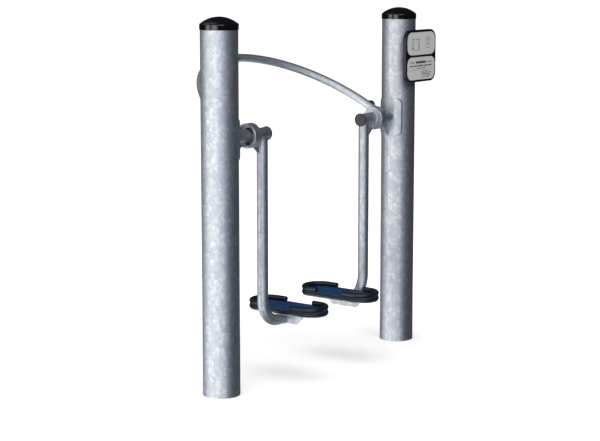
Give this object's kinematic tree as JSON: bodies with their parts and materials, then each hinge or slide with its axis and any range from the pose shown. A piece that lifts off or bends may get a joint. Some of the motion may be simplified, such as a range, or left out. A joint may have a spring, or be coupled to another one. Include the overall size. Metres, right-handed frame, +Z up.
{
  "type": "outdoor air walker",
  "caption": "Outdoor air walker: capped tube posts carrying free-swinging legs with round-ended pedals, a bowed handlebar and a small information sign.",
  "frame": {"origin": "on the ground midway between the axes of the posts", "axes": "+Z up, +X from the left post to the right post as the user sees them, +Y the way the user faces, towards the crown of the handlebar"},
  "size_m": [1.3431, 0.6086, 1.403],
  "materials": {
    "galvanised": "hot-dip galvanised, satin with soft spangle",
    "gloss_black": "moulded, glossy",
    "black_cap": "moulded, satin",
    "rubber": "moulded, satin",
    "blue_tread": "dark blue, fine textured",
    "bronze": "machined",
    "zinc_steel": "zinc plated",
    "bare_steel": "turned",
    "sign_black": "moulded, satin",
    "sign_plate": "matt plate with thin line graphics"
  },
  "bodies": {
    "frame": {"left_post": "galvanised", "right_post": "galvanised", "handlebar": "galvanised", "left_post_cap": "gloss_black", "left_saddle_plate": "galvanised", "left_stub_tube": "galvanised", "left_axle": "bare_steel", "left_upper_rib": "galvanised", "left_lower_rib": "galvanised", "left_stop_buffer": "rubber", "left_lock_nut": "zinc_steel", "left_handle_spigot": "galvanised", "left_handle_screw": "zinc_steel", "left_screw_cap": "gloss_black", "right_post_cap": "gloss_black", "right_saddle_plate": "galvanised", "right_stub_tube": "galvanised", "right_axle": "bare_steel", "right_upper_rib": "galvanised", "right_lower_rib": "galvanised", "right_stop_buffer": "rubber", "right_lock_nut": "zinc_steel", "right_handle_spigot": "galvanised", "right_handle_screw": "zinc_steel", "right_screw_cap": "gloss_black", "sign_body": "sign_black", "sign_panel_upper": "sign_plate", "sign_panel_lower": "sign_plate", "sign_screw_upper": "zinc_steel", "sign_screw_lower": "zinc_steel"},
    "left_leg": {"left_hub_housing": "galvanised", "left_pivot_tube": "galvanised", "left_inner_bush": "bronze", "left_outer_bush": "bronze", "left_end_cap": "black_cap", "left_arm_tube": "galvanised", "left_arm_gusset": "galvanised", "left_pedal_bracket": "galvanised", "left_base_plate": "galvanised", "left_edge_pad": "rubber", "left_tread_plate": "blue_tread", "left_front_bolt": "zinc_steel", "left_rear_bolt": "zinc_steel", "left_front_bumper": "rubber", "left_rear_bumper": "rubber"},
    "right_leg": {"right_hub_housing": "galvanised", "right_pivot_tube": "galvanised", "right_inner_bush": "bronze", "right_outer_bush": "bronze", "right_end_cap": "black_cap", "right_arm_tube": "galvanised", "right_arm_gusset": "galvanised", "right_pedal_bracket": "galvanised", "right_base_plate": "galvanised", "right_edge_pad": "rubber", "right_tread_plate": "blue_tread", "right_front_bolt": "zinc_steel", "right_rear_bolt": "zinc_steel", "right_front_bumper": "rubber", "right_rear_bumper": "rubber"}
  },
  "joints": [
    {"name": "left_leg_swing", "type": "hinge", "parent": "frame", "child": "left_leg", "pos_m": [-0.37, 0, 0.956], "axis": [1, 0, 0], "range_deg": [-45, 45]},
    {"name": "right_leg_swing", "type": "hinge", "parent": "frame", "child": "right_leg", "pos_m": [0.37, 0, 0.956], "axis": [1, 0, 0], "range_deg": [-45, 45]}
  ]
}
